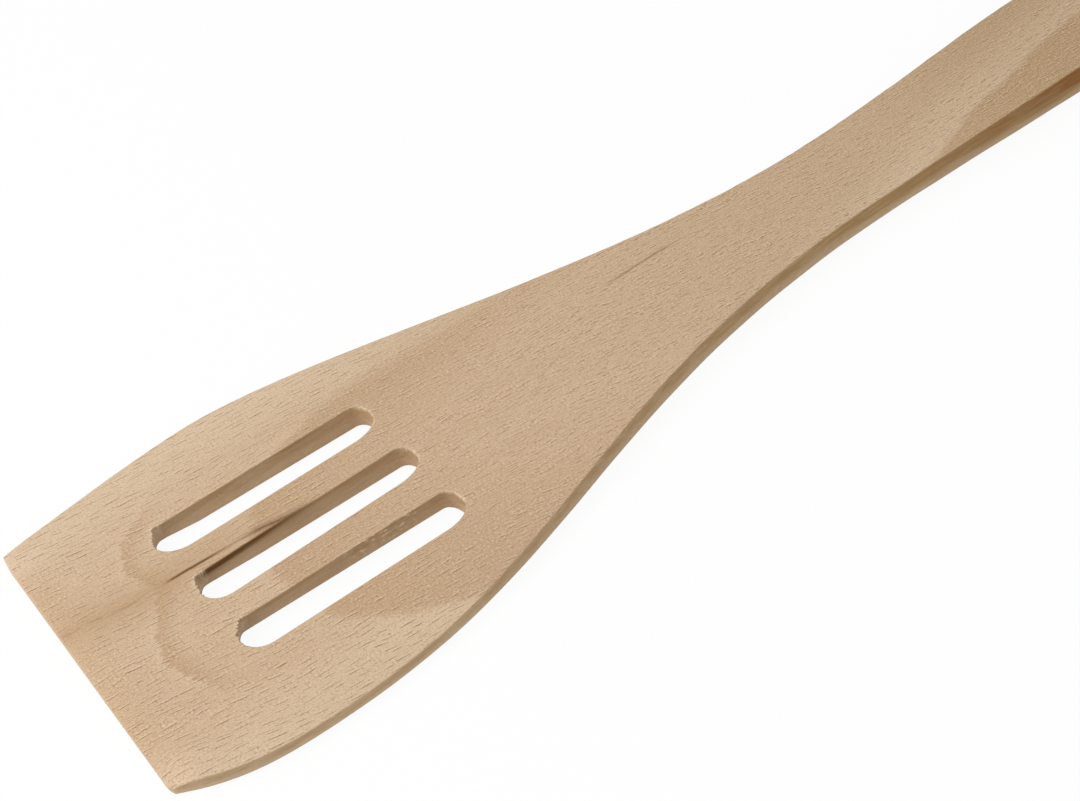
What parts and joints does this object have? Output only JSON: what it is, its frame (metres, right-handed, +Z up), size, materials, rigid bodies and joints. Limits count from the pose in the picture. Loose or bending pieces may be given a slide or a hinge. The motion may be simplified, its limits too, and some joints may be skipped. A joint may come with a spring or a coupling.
{
  "type": "slotted wooden spatula",
  "caption": "Flat slotted cooking spatula cut from one beech board: flared blade with round-ended slots, narrow waist and a plain rounded handle.",
  "frame": {"origin": "on the flat underside, under the middle of the length and of the width", "axes": "+X from the blade towards the end of the handle, +Y across the blade, +Z up out of the planed top face"},
  "size_m": [0.3, 0.0756, 0.0086],
  "materials": {
    "beech": "untreated matte beech, planed and sanded, with short dark ray flecks along the grain"
  },
  "bodies": {
    "root": {"spatula_body": "beech"}
  },
  "joints": []
}
